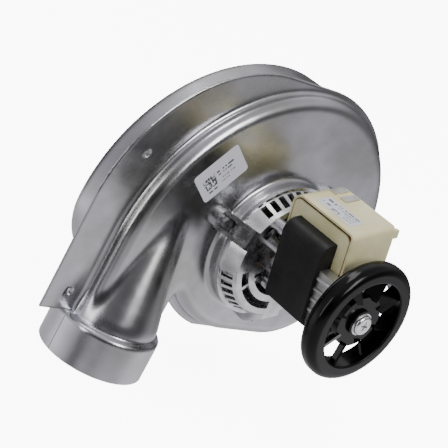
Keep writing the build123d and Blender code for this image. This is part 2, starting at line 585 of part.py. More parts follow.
def make_bracket():
    """The die-cast front bracket: an open box on the stack with ribbed sides and a bearing boss."""
    inner_y = BRACKET_FRONT_Y + BRACKET_WALL
    bracket = slab(bracket_outline(0), BRACKET_FRONT_Y, STACK_FRONT_Y)
    bracket -= slab(bracket_outline(BRACKET_WALL), inner_y, STACK_FRONT_Y + 1)
    for across, up in BOLTS:
        bracket += rod(BRACKET_POST_R, BRACKET_FRONT_Y, STACK_FRONT_Y, across, up)
    for n in range(SIDE_RIBS):
        up = BRACKET_TOP - SIDE_RIB_TOP - SIDE_RIB_PITCH * n
        bracket += rod(SIDE_RIB_R, BRACKET_FRONT_Y, STACK_FRONT_Y, BRACKET_HALF_W, up)
        bracket += rod(SIDE_RIB_R, BRACKET_FRONT_Y, STACK_FRONT_Y, -BRACKET_HALF_W, up)
    boss_y = inner_y + BOSS_INNER
    bracket += rod(BEARING_R + BOSS_WALL, BRACKET_FRONT_Y - BOSS_OUTER, boss_y)
    bracket -= rod(BEARING_R, FRONT_BEARING_Y, STACK_FRONT_Y)
    bracket -= rod(STATOR_BORE_R, boss_y, STACK_FRONT_Y + 1)
    bracket -= rod(SHAFT_R + SHAFT_HOLE_GAP, -FAR, STACK_FRONT_Y)
    coil_zone = Pos(COIL_LEFT - BOBBIN_WALL, BRACKET_FRONT_Y - 1, COIL_WINDOW_BOTTOM + 1) * Box(
        FAR, FAR, FAR, align=(Align.MIN, Align.MIN, Align.MIN))
    return in_motor_frame(bracket - coil_zone - bolt_cuts(BRACKET_FRONT_Y - 1, STACK_FRONT_Y + 1))


def make_motor_bolts():
    bolts = []
    for across, up in BOLTS:
        bolt = rod(BOLT_R, BRACKET_FRONT_Y, ADAPTER_NEAR_Y + ADAPTER_PLATE, across, up)
        head = rod(BOLT_HEAD_R, BRACKET_FRONT_Y - BOLT_HEAD_H, BRACKET_FRONT_Y, across, up)
        bolts.append(in_motor_frame(bolt + head))
    return bolts


# ---------------------------------------------------------------- cooling fan
def make_cooling_fan():
    """A moulded wheel: a thick round rim, a recessed middle disc, and pitched blades between them."""
    block = Pos(FAN_RIM_R, FAN_Y) * Rectangle(2 * FAN_RIM_HALF, 2 * FAN_RIM_AXIAL)
    outer_corners = block.vertices().filter_by(lambda v: v.X > FAN_RIM_R)
    section = fillet(outer_corners, FAN_RIM_HALF)
    inner_corners = section.vertices().filter_by(lambda v: v.X < FAN_RIM_R - FAN_RIM_HALF / 2)
    rim = revolve(fillet(inner_corners, FAN_RIM_EDGE_R), Axis.Y)
    disc = rod(FAN_HUB_DISC_R, FAN_WEB_Y, FAN_WEB_Y + FAN_DISC_THICK)
    hub = rod(FAN_HUB_R, FAN_BOSS_Y, FAN_BACK_Y)
    skirt = ring(FAN_HUB_DISC_R, FAN_HUB_DISC_R - FAN_SKIRT_WALL, FAN_WEB_Y, FAN_BLADE_Y + FAN_BLADE_CHORD / 2.5)
    root_r, tip_r = FAN_HUB_DISC_R - FAN_SKIRT_WALL, FAN_RIM_R - FAN_RIM_HALF + FAN_BLADE_THICK
    blade = Box(tip_r - root_r, FAN_BLADE_CHORD, FAN_BLADE_THICK, align=(Align.MIN, Align.CENTER, Align.CENTER))
    blade = Pos(root_r, FAN_BLADE_Y, 0) * Rot(FAN_BLADE_PITCH, 0, 0) * blade
    fan = rim + disc + hub + skirt
    for n in range(FAN_BLADES):
        fan += around(blade, 360 / FAN_BLADES * n)
    return fan - rod(SHAFT_R, SHAFT_FRONT_Y, 0) - rod(FAN_SCREW_R, -FAR, 0)


def make_fan_screw():
    """Pan head with a cross recess."""
    under_head = FAN_BOSS_Y - FAN_WASHER_H
    top = under_head - FAN_SCREW_HEAD_H
    head = rod(FAN_SCREW_HEAD_R, top, under_head)
    head = fillet(head.edges().group_by(Axis.Y)[0], FAN_SCREW_HEAD_H - 1)
    shank = rod(FAN_SCREW_R, under_head, SHAFT_FRONT_Y + FAN_SCREW_REACH)
    bar = Pos(0, top, 0) * Box(*CROSS_RECESS)
    return head + shank - bar - Rot(0, 90, 0) * bar


# ---------------------------------------------------------------- labels
def make_housing_label():
    flat = Pos(*LABEL_CENTRE) * Rot(0, 0, LABEL_TILT) * RectangleRounded(LABEL_LONG, LABEL_SHORT, LABEL_CORNER_R)
    return slab(flat, FACE_Y - LABEL_THICK, FACE_Y)


def make_cover_label():
    middle_x, middle_y = (COIL_LEFT + COVER_RIGHT) / 2, (COVER_BACK_Y + COVER_FRONT_Y) / 2
    sheet = extrude(RectangleRounded(*COVER_LABEL, COVER_LABEL_CORNER_R), amount=LABEL_THICK)
    shift_x, shift_y = COVER_LABEL_SHIFT
    return in_motor_frame(Pos(middle_x + shift_x, middle_y + shift_y, COVER_TOP) * sheet)


# ---------------------------------------------------------------- the parts, one file each
def make_thrust_washers():
    """One washer between each end ring of the rotor and its bearing."""
    near, far = END_RING_DEPTH + WASHER_GAP, END_RING_DEPTH + WASHER_GAP + WASHER_THICK
    return [ring(WASHER_R, SHAFT_R, STACK_BACK_Y + near, STACK_BACK_Y + far),
            ring(WASHER_R, SHAFT_R, STACK_FRONT_Y - far, STACK_FRONT_Y - near)]


def make_bearing(start_y, length):
    return ring(BEARING_R, SHAFT_R + RUNNING_GAP, start_y, start_y + length)


def main():
    backplate_y = IMPELLER_BACK_Y + IMPELLER_SHEET
    shroud_y = IMPELLER_FRONT_Y - IMPELLER_SHEET
    seal_y = SEAT_Y + SHEET
    parts = {
        "volute_front_shell": make_front_shell(),
        "volute_back_shell": make_back_shell(),
        "inlet_ring": make_inlet_ring(),
        "shaft_seal": ring(SEAL_R, SHAFT_R + RUNNING_GAP, seal_y, seal_y + SEAL_THICK),
        "impeller_backplate": ring(IMPELLER_R, SHAFT_R, IMPELLER_BACK_Y, backplate_y),
        "impeller_blades": make_blades(),
        "impeller_shroud": ring(IMPELLER_R, IMPELLER_EYE_R, shroud_y, IMPELLER_FRONT_Y),
        "impeller_hub": make_impeller_hub(),
        "impeller_set_screw": set_screw_body(IMPELLER_HUB_R - 0.5),
        "motor_shaft": make_shaft(),
        "heat_slinger": ring(SLINGER_R, SHAFT_R, SEAT_Y - SLINGER_OFF - SLINGER_THICK, SEAT_Y - SLINGER_OFF),
        "rotor_core": ring(STATOR_BORE_R - AIR_GAP, SHAFT_R, STACK_FRONT_Y, STACK_BACK_Y),
        "rotor_end_rings": make_rotor_end_rings(),
        "thrust_washers": make_thrust_washers(),
        "motor_adapter": make_adapter(),
        "adapter_screws": make_adapter_screws(),
        "rear_bearing": make_bearing(REAR_BEARING_Y - REAR_BEARING_LENGTH, REAR_BEARING_LENGTH),
        "front_bearing": make_bearing(FRONT_BEARING_Y, FRONT_BEARING_LENGTH),
        "stator_core": make_stator_core(),
        "coil_leg": make_coil_leg(),
        "shading_loops": in_motor_frame(make_shading_loops()),
        "coil_bobbin": make_bobbin(),
        "coil_winding": make_winding(),
        "coil_cover": make_cover(),
        "terminal_blades": make_terminals(),
        "front_bracket": make_bracket(),
        "motor_bolts": make_motor_bolts(),
        "cooling_fan": make_cooling_fan(),
        "fan_washer": ring(FAN_WASHER_R, FAN_SCREW_R, FAN_BOSS_Y - FAN_WASHER_H, FAN_BOSS_Y),
        "fan_screw": make_fan_screw(),
        "housing_label": make_housing_label(),
        "cover_label": make_cover_label(),
    }
    os.makedirs("parts", exist_ok=True)
    for name, shape in parts.items():
        if isinstance(shape, list):
            shape = Compound(children=shape)
        export_step(shape, f"parts/{name}.step")


main()
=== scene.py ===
"""Looks of a furnace combustion fan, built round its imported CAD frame.

Metres in Blender, millimetres in the shape functions. The origin is the inlet's centre on the rear face, the
shaft lies along Y with the motor towards -Y, and the outlet spigot points down along -Z.
"""
import json
from math import cos, radians, sin

import bmesh
import bpy
import numpy as np
from mathutils import Matrix, Vector

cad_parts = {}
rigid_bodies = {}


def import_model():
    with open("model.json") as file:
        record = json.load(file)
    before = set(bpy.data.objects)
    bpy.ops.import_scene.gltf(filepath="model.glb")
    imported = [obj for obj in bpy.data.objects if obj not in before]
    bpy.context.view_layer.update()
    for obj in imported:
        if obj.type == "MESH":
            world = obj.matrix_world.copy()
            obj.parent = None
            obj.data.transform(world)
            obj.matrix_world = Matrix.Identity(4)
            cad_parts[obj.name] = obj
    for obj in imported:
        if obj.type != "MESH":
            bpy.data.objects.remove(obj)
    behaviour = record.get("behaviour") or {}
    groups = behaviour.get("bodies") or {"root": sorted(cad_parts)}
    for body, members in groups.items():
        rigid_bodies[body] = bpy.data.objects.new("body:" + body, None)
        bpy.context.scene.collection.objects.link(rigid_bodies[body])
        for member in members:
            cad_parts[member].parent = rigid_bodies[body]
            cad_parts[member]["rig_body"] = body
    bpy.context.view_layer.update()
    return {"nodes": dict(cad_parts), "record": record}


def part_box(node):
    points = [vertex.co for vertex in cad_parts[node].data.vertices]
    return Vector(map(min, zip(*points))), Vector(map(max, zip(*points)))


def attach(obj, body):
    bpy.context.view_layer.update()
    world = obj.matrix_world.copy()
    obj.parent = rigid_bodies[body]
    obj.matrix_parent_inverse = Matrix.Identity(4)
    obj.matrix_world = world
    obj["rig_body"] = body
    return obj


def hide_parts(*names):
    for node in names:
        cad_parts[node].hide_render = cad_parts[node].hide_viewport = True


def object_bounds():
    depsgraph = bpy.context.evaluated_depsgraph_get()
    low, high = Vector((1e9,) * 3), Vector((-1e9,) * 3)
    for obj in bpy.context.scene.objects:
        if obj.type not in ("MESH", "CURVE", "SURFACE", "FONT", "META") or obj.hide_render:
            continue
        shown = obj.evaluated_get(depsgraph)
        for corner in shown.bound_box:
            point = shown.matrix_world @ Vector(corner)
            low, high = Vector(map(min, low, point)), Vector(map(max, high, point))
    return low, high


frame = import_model()
NODES = frame["nodes"]
MOUNTS = {mount["name"]: mount for mount in frame["record"]["mounts"]}
MM = 0.001

# ---------------------------------------------------------------- driving dimensions, millimetres
SHEET = 1.0                             # thickness of the steel
SEAM_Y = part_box("volute_back_shell")[0].y / MM
FACE_Y = SEAM_Y - 12.0                  # flat face of the front shell
SEAT_Y = FACE_Y - 9.0                   # pressed seat that carries the motor
SEAT_FOOT_R, SEAT_TOP_R, SEAT_HOLE_R = 51.0, 48.5, 9.0
RIGHT_R, RIGHT_Z = 110.0, 1.0           # scroll arc on the far side of the shaft
LEFT_R = 127.5                          # wider arc on the outlet side, with the same top
LEFT_Z = RIGHT_Z + RIGHT_R - LEFT_R
SCROLL_BOTTOM = 75.5
RIGHT_ARC_END = radians(20.0)
CORNER_R = (RIGHT_Z + SCROLL_BOTTOM - RIGHT_R * sin(RIGHT_ARC_END)) / (1 - sin(RIGHT_ARC_END))
CUTOFF_R, CUTOFF_X = 93.2, 8.0          # arc from the scroll's bottom up to the throat
CUTOFF_FILLET = 8.0
BACK_CURL_R = 46.0                      # rear shell's outlet side, where it curves back under the scroll
PAN_EDGE_R = 8.0
TUBE_R = MOUNTS["outlet_spigot"]["dims"]["r_mm"]
TUBE_X = MOUNTS["outlet_spigot"]["pos_m"][0] / MM
TUBE_END_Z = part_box("volute_front_shell")[0].z / MM
SHOULDER_Z = TUBE_END_Z + MOUNTS["outlet_spigot"]["dims"]["length_mm"]
COLLAR_EDGE_R = 3.5                     # rounded top edge of the spigot's collar
THROAT_RIGHT_X = TUBE_X + TUBE_R
THROAT_TOP_Z = 30.0                     # well inside the scroll, so that the throat's top never shows
BULGE_TOP, BULGE_TOP_R, BULGE_R = (-90.5, SEAM_Y, 1.5), 12.0, 34.0
REAR_TOP, REAR_TOP_R, REAR_R = (-89.0, SEAM_Y, -10.0), 32.0, 33.0
BULGE_LOW = (TUBE_X, SEAM_Y, SHOULDER_Z)
FLANGE_LEFT_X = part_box("volute_front_shell")[0].x / MM
FLANGE_R, FLANGE_Z, FLANGE_END_Z = 114.0, 2.0, -78.0
HEM = 5.0                               # width of the hem outside the scroll
HEM_R = 1.2                             # rounded outer edge of flange and hem
HOLES = [MOUNTS[name]["pos_m"] for name in ("upper_flange_hole", "lower_flange_hole")]
HOLE_R = MOUNTS["upper_flange_hole"]["dims"]["r_mm"]
INLET_R = MOUNTS["inlet"]["dims"]["r_mm"] + SHEET
BULGE_FILLET, SEAT_FILLET, FLANGE_FILLET, COLLAR_FILLET = 3.5, 3.0, 4.0, 1.5
REAR_BULGE_FILLET, REAR_FLANGE_FILLET = 6.0, 3.0
SEAT_EDGE_R, SEAT_HOLE_EDGE_R, REAR_FLANGE_EDGE_R, INLET_EDGE_R = 2.0, 1.0, 0.3, 0.6
BEYOND = -500.0                         # a distance that never decides a shape

CELL = 1.3       # grid step of the front shell
REAR_CELL = 1.2 * CELL                  # the rear shell is smoother and can be coarser
SKIN_LOW = (-163.0, -114.0)             # left and lower edge of the grid round both shells
SKIN_HIGH = (120.0, 120.0)              # right and upper edge of the grid
GRID_MARGIN = 3.0
SEAM_GAP = 0.1                          # each skin ends this far from the seam
INLET_CLEARANCE = 0.2                   # faces this near the inlet's radius belong to its wall

LABEL_TILT = radians(55.3)
LABEL_CENTRE = (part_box("housing_label")[0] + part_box("housing_label")[1]) / 2
COVER_LABEL_CENTRE = (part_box("cover_label")[0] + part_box("cover_label")[1]) / 2
MOTOR_TILT = radians(18.6)
CELLS_FILLED, DASHES_FILLED = 0.55, 0.6   # shares of a label's cells and dashes that are printed
DASH_SHAPE = 0.8                        # a dash's length against the height of its row
ROW_PITCH = 40.0                        # taller than a label, so that a dash fills its row's height
SHARP = radians(35.0)                   # edges sharper than this are rounded


# ---------------------------------------------------------------- distance fields, millimetres
def blend(a, b, reach):
    """Union of two solids with a soft fillet of about that reach."""
    near = np.maximum(reach - np.abs(a - b), 0.0) / reach
    return np.minimum(a, b) - near * near * reach / 4


def round_both(a, b, radius):
    """What two solids share, with their common edge rounded."""
    outside = np.hypot(np.maximum(a + radius, 0.0), np.maximum(b + radius, 0.0))
    return np.minimum(np.maximum(a, b), -radius) + outside


def round_either(a, b, radius):
    """Union of two solids, with their inner corner rounded."""
    return -round_both(-a, -b, radius)


def capped_cone(x, y, z, low, low_r, high, high_r):
    """A cone with ball ends, between two centres."""
    axis = np.subtract(high, low)
    length = np.linalg.norm(axis)
    axis = axis / length
    along = (x - low[0]) * axis[0] + (y - low[1]) * axis[1] + (z - low[2]) * axis[2]
    square = (x - low[0]) ** 2 + (y - low[1]) ** 2 + (z - low[2]) ** 2
    off = np.sqrt(np.maximum(square - along ** 2, 0.0))
    slope = (high_r - low_r) / length
    cosine = np.sqrt(1 - slope * slope)
    t = np.clip((along + off * slope / cosine) / length, 0.0, 1.0)
    return np.hypot(along - t * length, off) - (low_r + (high_r - low_r) * t)


def scroll_distance(x, z):
    """The scroll without its throat, as a flat shape in x and z."""
    corner_x = (RIGHT_R - CORNER_R) * cos(RIGHT_ARC_END)
    corner_z = CORNER_R - SCROLL_BOTTOM
    left = np.hypot(x, z - LEFT_Z) - LEFT_R
    right = np.hypot(x, z - RIGHT_Z) - RIGHT_R
    round_corner = np.hypot(x - corner_x, z - corner_z) - CORNER_R
    corner = np.where(x > corner_x, round_corner, -SCROLL_BOTTOM - z)
    cutoff = np.hypot(x - CUTOFF_X, z - CUTOFF_R + SCROLL_BOTTOM) - CUTOFF_R
    on_right_arc = np.arctan2(z - RIGHT_Z, x) > -RIGHT_ARC_END
    far_side = np.where(on_right_arc, right, corner)
    outlet_side = np.where(z > LEFT_Z, left, cutoff)
    middle = np.where(z > 0, right, cutoff)
    return np.where(x > CUTOFF_X, far_side, np.where(x > 0, middle, outlet_side))


def join_at_cutoff(x, scroll, outlet):
    """The scroll and its outlet side, with their inner corner rounded near the cut-off only."""
    near_cutoff = round_either(scroll, outlet, CUTOFF_FILLET)
    return np.where(x > TUBE_X + TUBE_R / 2, near_cutoff, np.minimum(scroll, outlet))


def front_distance(x, z):
    """The scroll with the straight throat down to the spigot."""
    half = (THROAT_RIGHT_X + LEFT_R) / 2
    ends = np.maximum(z - THROAT_TOP_Z, SHOULDER_Z - 2 * SHEET - z)
    wall = np.where(z > LEFT_Z, np.hypot(x, z - LEFT_Z) - LEFT_R, BEYOND)
    throat = np.maximum(np.maximum(np.abs(x + LEFT_R - half) - half, wall), ends)
    return join_at_cutoff(x, scroll_distance(x, z), throat)


def back_distance(x, z):
    """The scroll whose outlet side curves back to the cut-off."""
    curl = np.hypot(x + LEFT_R - BACK_CURL_R, z - LEFT_Z) - BACK_CURL_R
    return join_at_cutoff(x, scroll_distance(x, z), curl)


def flange_distance(x, z):
    """Outer edge of the flange: wide on the outlet side, a narrow hem elsewhere."""
    arc_x = FLANGE_LEFT_X + FLANGE_R
    arc = np.hypot(np.minimum(x - arc_x, 0.0), z - FLANGE_Z) - FLANGE_R
    side = np.where(z > FLANGE_Z, arc, FLANGE_LEFT_X - x)
    above_spigot = np.where(x > TUBE_X, -SHEET - z, BEYOND)
    wide = np.maximum(side, np.maximum(x, above_spigot))
    edge = np.minimum(wide, front_distance(x, z) - HEM)
    return np.maximum(edge, FLANGE_END_Z - z)


def collar_distance(x, y, z):
    """The round spigot, with a rounded top edge."""
    barrel = np.hypot(x - TUBE_X, y - SEAM_Y) - TUBE_R
    return round_both(barrel, z - SHOULDER_Z, COLLAR_EDGE_R)


def front_skin(x, y, z):
    """Outer surface of everything drawn in the front shell."""
    pan = round_both(front_distance(x, z), FACE_Y - y, PAN_EDGE_R)
    bulge = capped_cone(x, y, z, BULGE_TOP, BULGE_TOP_R, BULGE_LOW, BULGE_R)
    seat_r = SEAT_TOP_R + (y - SEAT_Y) * (SEAT_FOOT_R - SEAT_TOP_R) / (FACE_Y - SEAT_Y)
    radius = np.hypot(x, z)
    seat = round_both(radius - seat_r, SEAT_Y - y, SEAT_EDGE_R)
    flange = round_both(flange_distance(x, z), SEAM_Y - SHEET - y, HEM_R)
    shell = blend(pan, bulge, BULGE_FILLET)
    shell = blend(shell, seat, SEAT_FILLET)
    shell = blend(shell, flange, FLANGE_FILLET)
    shell = blend(shell, collar_distance(x, y, z), COLLAR_FILLET)
    return round_both(shell, SEAT_HOLE_R - radius, SEAT_HOLE_EDGE_R)


def back_skin(x, y, z):
    """Outer surface of everything drawn in the rear shell."""
    pan = round_both(back_distance(x, z), y, PAN_EDGE_R)
    bulge = capped_cone(x, y, z, REAR_TOP, REAR_TOP_R, BULGE_LOW, REAR_R)
    flange = round_both(flange_distance(x, z) + 2 * SHEET, y - SEAM_Y - SHEET, REAR_FLANGE_EDGE_R)
    shell = blend(pan, bulge, REAR_BULGE_FILLET)
    shell = blend(shell, flange, REAR_FLANGE_FILLET)
    shell = blend(shell, collar_distance(x, y, z), COLLAR_FILLET)
    return round_both(shell, INLET_R - np.hypot(x, z), INLET_EDGE_R)


# ---------------------------------------------------------------- meshes from distance fields
def settle(field, points, reach):
    """Moves points onto the zero surface of a field."""
    step = 0.02
    for _ in range(5):
        x, y, z = points.T
        value = field(x, y, z)
        slope = np.stack([
            field(x + step, y, z) - field(x - step, y, z),
            field(x, y + step, z) - field(x, y - step, z),
            field(x, y, z + step) - field(x, y, z - step)], axis=1) / (2 * step)
        square = np.maximum((slope * slope).sum(axis=1), 0.05)
        shift = np.clip(-value / square, -reach, reach)
        points = points + slope * shift[:, None]
    return points


def skin(field, low, high, cell):
    """Quads of the zero surface of a field, one vertex in each cell that the surface crosses."""
    axes = [np.arange(start, end + cell, cell) for start, end in zip(low, high)]
    inside = field(*np.meshgrid(*axes, indexing="ij")) < 0
    corners = sum(
        inside[i:len(axes[0]) - 1 + i, j:len(axes[1]) - 1 + j, k:len(axes[2]) - 1 + k].astype(np.int8)
        for i in (0, 1) for j in (0, 1) for k in (0, 1))
    crossed = (corners > 0) & (corners < 8)
    index = np.full(crossed.shape, -1)
    index[crossed] = np.arange(crossed.sum())
    points = (np.argwhere(crossed) + 0.5) * cell + np.array(low)
    quads = []
    for axis in range(3):
        side_a, side_b = [other for other in range(3) if other != axis]
        first = np.take(inside, range(inside.shape[axis] - 1), axis)
        second = np.take(inside, range(1, inside.shape[axis]), axis)
        for leaves in (True, False):
            hits = np.argwhere((first & ~second) if leaves else (~first & second))
            hits = hits[(hits[:, side_a] > 0) & (hits[:, side_b] > 0)]
            hits = hits[(hits[:, side_a] < crossed.shape[side_a]) & (hits[:, side_b] < crossed.shape[side_b])]
            ring = []
            for back_a, back_b in ((0, 0), (1, 0), (1, 1), (0, 1)):
                cell_at = hits.copy()
                cell_at[:, side_a] -= back_a
                cell_at[:, side_b] -= back_b
                ring.append(index[tuple(cell_at.T)])
            ring = np.stack(ring, axis=1)
            turn = leaves if axis != 1 else not leaves
            quads.append(ring if turn else ring[:, ::-1])
    quads = np.concatenate(quads)
    points = settle(field, points, cell)
    for _ in range(3):
        points = settle(field, relax(points, quads), cell / 2)
    return points, quads


def relax(points, quads):
    """Each point at the middle of its neighbours, which evens out the quads."""
    total = np.zeros_like(points)
    count = np.zeros(len(points))
    for here, there in ((0, 1), (1, 2), (2, 3), (3, 0)):
        for a, b in ((here, there), (there, here)):
            np.add.at(total, quads[:, a], points[quads[:, b]])
            np.add.at(count, quads[:, a], 1)
    return np.where(count[:, None] > 0, total / np.maximum(count, 1)[:, None], points)


def mesh_object(name, points, faces, smooth=True):
    """A mesh object from points in millimetres."""
    mesh = bpy.data.meshes.new(name)
    mesh.from_pydata((np.asarray(points) * MM).tolist(), [], [list(map(int, face)) for face in faces])
    mesh.update()
    if smooth:
        mesh.shade_smooth()
    piece = bpy.data.objects.new(name, mesh)
    bpy.context.scene.collection.objects.link(piece)
    return piece


def trim(piece, point, direction):
    """Cuts away the side of a mesh that direction points to."""
    sheet = bmesh.new()
    sheet.from_mesh(piece.data)
    geometry = sheet.verts[:] + sheet.edges[:] + sheet.faces[:]
    bmesh.ops.bisect_plane(sheet, geom=geometry, plane_co=Vector(point) * MM, plane_no=Vector(direction),
                           clear_outer=True, dist=1e-7)
    sheet.to_mesh(piece.data)
    sheet.free()


def drop_faces(piece, test):
    """Deletes the faces whose middle, in millimetres, passes the test."""
    sheet = bmesh.new()
    sheet.from_mesh(piece.data)
    doomed = [face for face in sheet.faces if test(face.calc_center_median() / MM)]
    bmesh.ops.delete(sheet, geom=doomed, context="FACES")
    sheet.to_mesh(piece.data)
    sheet.free()


def punch(piece, radius):
    """Opens the flange holes in a skin and pulls their rims to a true circle."""
    sheet = bmesh.new()
    sheet.from_mesh(piece.data)
    for place in HOLES:
        centre = Vector((place[0], place[2])) / MM
        doomed = [
            face for face in sheet.faces
            if (face.calc_center_median().xz / MM - centre).length < radius]
        bmesh.ops.delete(sheet, geom=doomed, context="FACES")
        for point in sheet.verts:
            arm = point.co.xz / MM - centre
            if point.is_boundary and arm.length < 2 * radius:
                rim = (centre + arm.normalized() * radius) * MM
                point.co.x, point.co.z = rim
    sheet.to_mesh(piece.data)
    sheet.free()


def modifier(piece, kind, **values):
    """Adds a modifier with its settings."""
    item = piece.modifiers.new(kind.lower(), kind)
    for key, value in values.items():
        setattr(item, key, value)
    return item


def stand_for(piece, node):
    """The piece rides on its node's body and is shown in its place, with the node hidden."""
    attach(piece, NODES[node]["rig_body"])
    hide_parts(node)
    return piece


# ---------------------------------------------------------------- housing
def pressed_shell(name, field, depth, seam_side, cell):
    """The skin of one shell between two depths along Y, cut off at the seam and at the spigot's end."""
    low = (SKIN_LOW[0], depth[0] - GRID_MARGIN, SKIN_LOW[1])
    high = (SKIN_HIGH[0], depth[1] + GRID_MARGIN, SKIN_HIGH[1])
    piece = mesh_object(name, *skin(field, low, high, cell))
    trim(piece, (0, SEAM_Y - SEAM_GAP * seam_side, 0), (0, seam_side, 0))
    trim(piece, (0, 0, TUBE_END_Z), (0, 0, -1))
    return piece


def finish_shell(piece, node):
    """Opens the flange holes, gives the skin its thickness and puts it in the place of its node."""
    punch(piece, HOLE_R)
    modifier(piece, "SOLIDIFY", thickness=SHEET * MM, offset=-1)
    return stand_for(piece, node)


def make_front_shell():
    """The front shell. The wall of its seat hole runs back to the seam, hidden round the shaft."""
    piece = pressed_shell("front_shell", front_skin, (SEAM_Y - TUBE_R, SEAM_Y), 1, CELL)
    return finish_shell(piece, "volute_front_shell")


def make_back_shell():
    """The rear shell, without the inner end of its inlet's wall, which would reach the seam."""
    piece = pressed_shell("back_shell", back_skin, (SEAM_Y, 0.0), -1, REAR_CELL)
    drop_faces(piece, lambda at: at.xz.length < INLET_R + INLET_CLEARANCE and at.y < -1.5 * SHEET)
    return finish_shell(piece, "volute_back_shell")


# ---------------------------------------------------------------- materials
def new_material(name, colour, roughness, metallic=0.0):
    """A Principled material with constants on its own sockets."""
    item = bpy.data.materials.new(name)
    item.use_nodes = True
    shader = item.node_tree.nodes["Principled BSDF"]
    shader.inputs["Base Color"].default_value = (*colour, 1.0)
    shader.inputs["Roughness"].default_value = roughness
    shader.inputs["Metallic"].default_value = metallic
    return item


def noise(item, scale, detail=4.0, stretch=(1, 1, 1)):
    """Noise in object space, in waves per metre."""
    nodes, links = item.node_tree.nodes, item.node_tree.links
    where = nodes.new("ShaderNodeTexCoord")
    mapping = nodes.new("ShaderNodeMapping")
    mapping.inputs["Scale"].default_value = stretch
    texture = nodes.new("ShaderNodeTexNoise")
    texture.inputs["Scale"].default_value = scale
    texture.inputs["Detail"].default_value = detail
    links.new(where.outputs["Object"], mapping.inputs["Vector"])
    links.new(mapping.outputs["Vector"], texture.inputs["Vector"])
    return texture.outputs["Fac"]


def ramp(item, source, stops):
    """A colour ramp over a value: stops are (position, colour)."""
    node = item.node_tree.nodes.new("ShaderNodeValToRGB")
    item.node_tree.links.new(source, node.inputs["Fac"])
    elements = node.color_ramp.elements
    while len(elements) < len(stops):
        elements.new(0.5)
    for element, (position, colour) in zip(elements, stops):
        element.position = position
        element.color = (*colour, 1.0)
    return node.outputs["Color"]


def grey(value):
    """A colour without a tint."""
    return (value, value, value)


def into(item, source, socket):
    """Links a value to a socket of the material's Principled shader."""
    shader = item.node_tree.nodes["Principled BSDF"]
    item.node_tree.links.new(source, shader.inputs[socket])


def set_constant(item, socket, value):
    """Sets one constant of the material's Principled shader."""
    item.node_tree.nodes["Principled BSDF"].inputs[socket].default_value = value


def bump(item, source, strength, distance):
    """Relief from a height value; a second one lies under the first."""
    nodes, links = item.node_tree.nodes, item.node_tree.links
    finest = next((node for node in nodes if node.type == "BUMP"), None)
    relief = nodes.new("ShaderNodeBump")
    relief.inputs["Strength"].default_value = strength
    relief.inputs["Distance"].default_value = distance
    links.new(source, relief.inputs["Height"])
    if finest:
        links.new(relief.outputs["Normal"], finest.inputs["Normal"])
    else:
        into(item, relief.outputs["Normal"], "Normal")


def metal(name, dark, light, rough, scale, grain, depth, stretch=(1, 1, 1)):
    """Metal whose colour and roughness drift, with a fine grain in its surface."""
    item = new_material(name, light, rough[0], 1.0)
    into(item, ramp(item, noise(item, scale, 6.0), [(0.32, dark), (0.68, light)]), "Base Color")
    drift = noise(item, scale * 2.3, 6.0)
    into(item, ramp(item, drift, [(0.3, grey(rough[0])), (0.7, grey(rough[1]))]), "Roughness")
    bump(item, noise(item, grain, 3.0, stretch), 0.25, depth)
    return item


def moulding(name, dark, light, rough, scale, grain, depth):
    """Moulded plastic or varnish with a faint drift and grain."""
    item = new_material(name, light, rough[0])
    into(item, ramp(item, noise(item, scale, 5.0), [(0.35, dark), (0.65, light)]), "Base Color")
    drift = noise(item, scale * 3.1, 4.0)
    into(item, ramp(item, drift, [(0.3, grey(rough[0])), (0.7, grey(rough[1]))]), "Roughness")
    bump(item, noise(item, grain, 3.0), 0.2, depth)
    return item


def housing_steel():
    """Aluminised sheet: grey with a warm cast in places, cloudy spots and soft pressing marks."""
    item = metal("housing_steel", (0.33, 0.325, 0.31), (0.49, 0.49, 0.53), (0.19, 0.30), 21.0, 520.0, 0.00004)
    bump(item, noise(item, 38.0, 2.0), 0.35, 0.0006)
    return item


def laminations():
    """Black varnished sheets, stacked along the shaft."""
    item = moulding("black_laminations", grey(0.004), grey(0.010), (0.42, 0.58), 60.0, 400.0, 0.0001)
    nodes, links = item.node_tree.nodes, item.node_tree.links
    where = nodes.new("ShaderNodeTexCoord")
    wave = nodes.new("ShaderNodeTexWave")
    wave.bands_direction = "Y"
    wave.inputs["Scale"].default_value = 320.0
    wave.inputs["Distortion"].default_value = 0.4
    links.new(where.outputs["Object"], wave.inputs["Vector"])
    bump(item, wave.outputs["Fac"], 0.25, 0.0001)
    return item


def arithmetic(item, operation, first, second=None):
    """One arithmetic node; arguments are sockets or numbers."""
    node = item.node_tree.nodes.new("ShaderNodeMath")
    node.operation = operation
    for socket, value in zip(node.inputs, (first, second)):
        if isinstance(value, (int, float)):
            socket.default_value = value
        elif value is not None:
            item.node_tree.links.new(value, socket)
    return node.outputs[0]


def along(item, centre, direction):
    """Distance in millimetres from a centre along a direction, both in object space."""
    nodes, links = item.node_tree.nodes, item.node_tree.links
    where = nodes.new("ShaderNodeTexCoord")
    shift = nodes.new("ShaderNodeVectorMath")
    shift.operation = "SUBTRACT"
    shift.inputs[1].default_value = centre
    links.new(where.outputs["Object"], shift.inputs[0])
    dot = nodes.new("ShaderNodeVectorMath")
    dot.operation = "DOT_PRODUCT"
    dot.inputs[1].default_value = direction
    links.new(shift.outputs["Vector"], dot.inputs[0])
    return arithmetic(item, "MULTIPLY", dot.outputs["Value"], 1000.0)


def within(item, value, low, high):
    """1 between two values, else 0."""
    above = arithmetic(item, "GREATER_THAN", value, low)
    below = arithmetic(item, "LESS_THAN", value, high)
    return arithmetic(item, "MULTIPLY", above, below)


